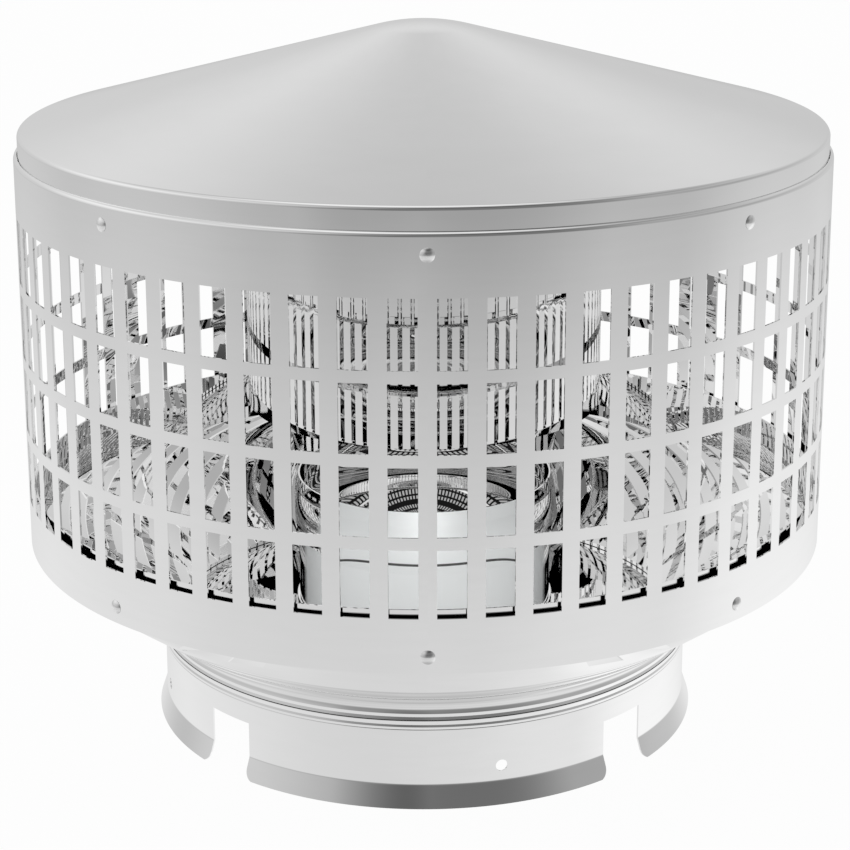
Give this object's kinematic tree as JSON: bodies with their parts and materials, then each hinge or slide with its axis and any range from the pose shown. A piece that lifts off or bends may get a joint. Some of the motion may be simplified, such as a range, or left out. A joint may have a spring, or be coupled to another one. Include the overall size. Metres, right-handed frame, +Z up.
{
  "type": "chimney cap",
  "caption": "Round sheet steel chimney cap: shallow cone roof, slotted band, inverted cone pan and a tabbed skirt that slips over a double-wall chimney casing.",
  "frame": {"origin": "on the vertical axis, in the plane of the flared lips that the cap stands on", "axes": "+Z up along the axis of the flue, -Y towards the front"},
  "size_m": [0.383, 0.383, 0.3345],
  "materials": {
    "satin_stainless": "smooth satin stainless steel sheet",
    "bright_stainless": "bright polished stainless steel sheet",
    "rivet_steel": "plain stainless steel"
  },
  "bodies": {
    "root": {"roof": "satin_stainless", "slotted_band": "satin_stainless", "pan": "satin_stainless", "skirt": "satin_stainless", "floor_ring": "bright_stainless", "flue_stub": "bright_stainless", "draft_cup": "bright_stainless", "rivet_top_1": "rivet_steel", "rivet_top_2": "rivet_steel", "rivet_top_3": "rivet_steel", "rivet_top_4": "rivet_steel", "rivet_top_5": "rivet_steel", "rivet_top_6": "rivet_steel", "rivet_top_7": "rivet_steel", "rivet_top_8": "rivet_steel", "rivet_bottom_1": "rivet_steel", "rivet_bottom_2": "rivet_steel", "rivet_bottom_3": "rivet_steel", "rivet_bottom_4": "rivet_steel", "rivet_bottom_5": "rivet_steel", "rivet_bottom_6": "rivet_steel", "rivet_bottom_7": "rivet_steel", "rivet_bottom_8": "rivet_steel"}
  },
  "joints": []
}
